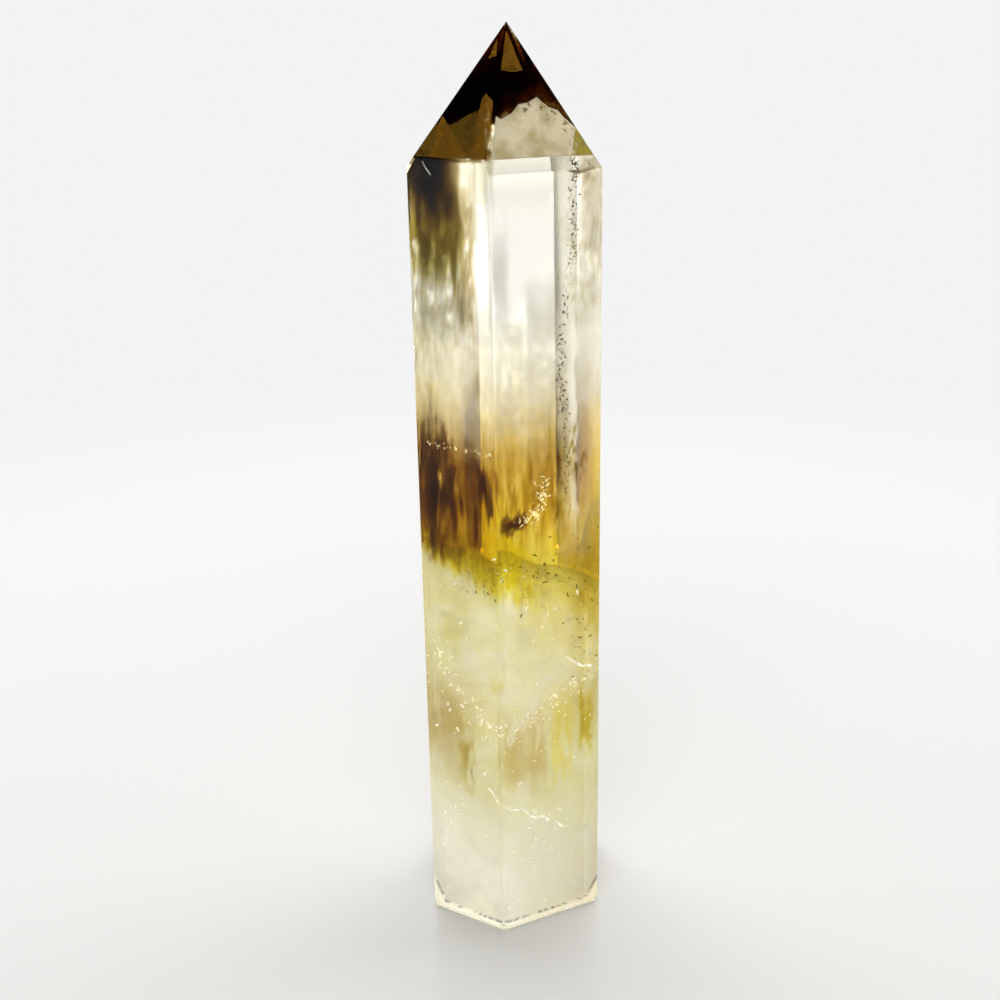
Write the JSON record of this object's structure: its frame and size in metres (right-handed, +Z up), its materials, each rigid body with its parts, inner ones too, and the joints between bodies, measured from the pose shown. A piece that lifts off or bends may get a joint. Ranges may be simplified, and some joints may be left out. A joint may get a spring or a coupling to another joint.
{
  "type": "citrine crystal point",
  "caption": "Polished citrine tower: a faceted see-through prism with a dark smoky point, honey colour zones and a flat base to stand on.",
  "frame": {"origin": "middle of the flat base, on the surface the crystal stands on", "axes": "+Z up along the crystal to its tip; -Y is the front, where the front edge of the prism is"},
  "size_m": [0.02, 0.0234, 0.1],
  "materials": {
    "citrine_quartz": "polished, see-through, with smoky brown and honey yellow zones, veils and flakes inside"
  },
  "bodies": {
    "root": {"crystal_point": "citrine_quartz"}
  },
  "joints": []
}
